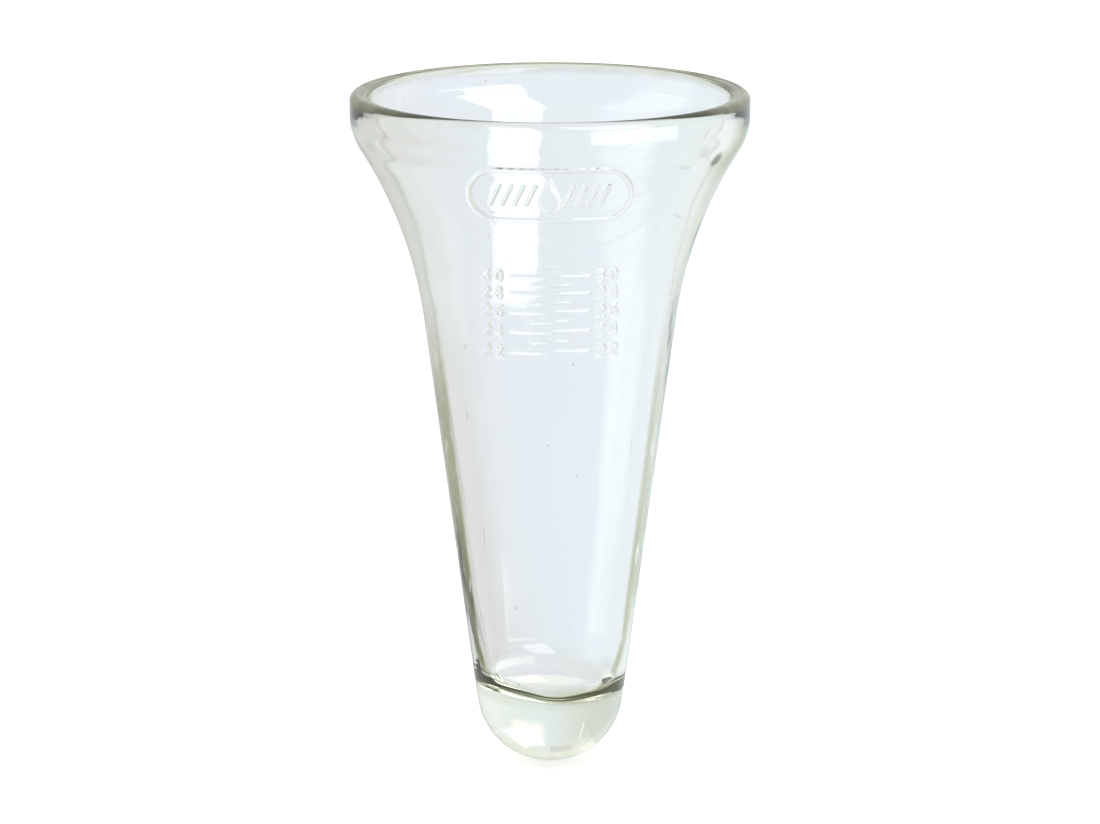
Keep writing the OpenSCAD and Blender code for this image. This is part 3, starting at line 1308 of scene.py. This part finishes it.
        return place_in_scene(bpy.data.objects.new("pressed_glass", mesh))

    @staticmethod
    def _strip(low: list[int], high: list[int], low_start: int, high_start: int) -> list[tuple[int, ...]]:
        """Faces between two rings, of which one may have more columns than the other.

        Args:
            low: Columns that the lower ring has.
            high: Columns that the upper ring has.
            low_start: Number of the lower ring's first vertex.
            high_start: Number of the upper ring's first vertex.

        Returns:
            The faces, seen anticlockwise from outside the glass.
        """
        sparse, dense = (low, high) if len(low) < len(high) else (high, low)
        upper_dense = dense is high
        sparse_start = low_start if upper_dense else high_start
        dense_start = high_start if upper_dense else low_start
        number = {column: j for j, column in enumerate(dense)}
        faces: list[tuple[int, ...]] = []
        for j, column in enumerate(sparse):
            nxt = sparse[(j + 1) % len(sparse)]
            span = (number[nxt] - number[column]) % len(dense)
            a, b = sparse_start + j, sparse_start + (j + 1) % len(sparse)
            run = [dense_start + (number[column] + k) % len(dense) for k in range(span + 1)]
            if span == 1:
                made = [(a, b, run[1], run[0])]
            else:
                half = span // 2
                made = [(a, run[k + 1], run[k]) for k in range(half)]
                made.append((a, b, run[half]))
                made += [(b, run[k + 1], run[k]) for k in range(half, span)]
            faces += made if upper_dense else [tuple(reversed(face)) for face in made]
        return faces

    def dress(self, made: bpy.types.Object) -> None:
        """Gives the glass its finish.

        Args:
            made: The glass.
        """
        outline = Outline(self.sizes)
        lip = Vector((0.0, 0.0, self.lip_z))
        placed = []
        # Places the painted shade spots on the outside of the glass.
        for shade_spot in self.shade_spots:
            point, _ = outline.at(np.array([outline.outside_at(shade_spot.height)]))
            r, z = (float(v) for v in point[0])
            placed.append((shade_spot, bearing(shade_spot.turn, r, z) * MM + lip))
        made.data.materials.append(self.finish.material(self.lip_z, placed))


@dataclass(frozen=True)
class SoftBox:
    """A soft studio light, placed by its bearing from the gauge."""

    name: str
    turn: float
    lift: float
    distance: float
    width: float
    height: float
    radiance: float
    colour: Colour = WHITE

    def make(self) -> bpy.types.Object:
        """Makes the light, facing the gauge.

        Returns:
            The light's object.
        """
        lift = math.radians(self.lift)
        away = bearing(self.turn, math.cos(lift), math.sin(lift))
        lamp = bpy.data.lights.new(self.name, "AREA")
        lamp.shape = "RECTANGLE"
        lamp.size = self.width
        lamp.size_y = self.height
        lamp.color = self.colour
        lamp.energy = self.radiance * math.pi * self.width * self.height
        made = bpy.data.objects.new(self.name, lamp)
        made.location = away * self.distance
        made.rotation_euler = away.to_track_quat("Z", "Y").to_euler()
        return place_in_scene(made, in_glass=False)


@dataclass
class Studio:
    """The floor, the light, the room and the camera round the gauge."""

    tip_z: float
    camera_back: float = 0.880
    camera_up: float = 0.1664
    camera_down: float = 13.58
    lens: float = 129.6
    sensor: float = 36.0
    clip: Span = (0.01, 50.0)
    floor_half: float = 4.0
    light: SoftBox = SoftBox("soft_light", turn=30.0, lift=62.0, distance=1.6, width=1.4, height=1.4,
                             radiance=0.9)

    def build(self) -> bpy.types.Object:
        """Makes the floor, the light, the room and the camera.

        Returns:
            The floor.
        """
        StudioRoom().make()
        self.light.make()
        self._camera()
        return self._floor()

    def _camera(self) -> None:
        """Makes the camera at the photograph's viewing angle."""
        lens = bpy.data.cameras.new("camera")
        lens.sensor_width = self.sensor
        lens.lens = self.lens
        lens.clip_start, lens.clip_end = self.clip
        made = bpy.data.objects.new("camera", lens)
        made.location = (0.0, -self.camera_back, self.camera_up)
        made.rotation_euler = (math.radians(90.0 - self.camera_down), 0.0, 0.0)
        bpy.context.scene.camera = place_in_scene(made)

    def _floor(self) -> bpy.types.Object:
        """Makes the plain floor under the tip.

        Returns:
            The floor.
        """
        half = self.floor_half
        corners = [(x * half, y * half, self.tip_z) for x, y in ((-1, -1), (1, -1), (1, 1), (-1, 1))]
        mesh = bpy.data.meshes.new("floor")
        mesh.from_pydata(corners, [], [(0, 1, 2, 3)])
        mesh.materials.append(PaleFloor().material())
        return place_in_scene(bpy.data.objects.new("floor", mesh), in_glass=False)


def main() -> None:
    """Builds the gauge and its studio, and reports each piece."""
    logging.basicConfig(level=logging.INFO)
    low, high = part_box("gauge_glass")
    bpy.context.scene.view_settings.view_transform = "Standard"
    vessel = GlassVessel(lip_z=high.z)
    glass = vessel.build()
    vessel.dress(glass)
    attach(glass, "root")
    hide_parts("gauge_glass")
    triangles = sum(len(face.vertices) - 2 for face in glass.data.polygons)
    LOG.info("%s: %d vertices, %d triangles", glass.name, len(glass.data.vertices), triangles)
    floor = Studio(tip_z=low.z).build()
    LOG.info("%s under the tip at %.4f m", floor.name, low.z)


if __name__ == "__main__":
    main()
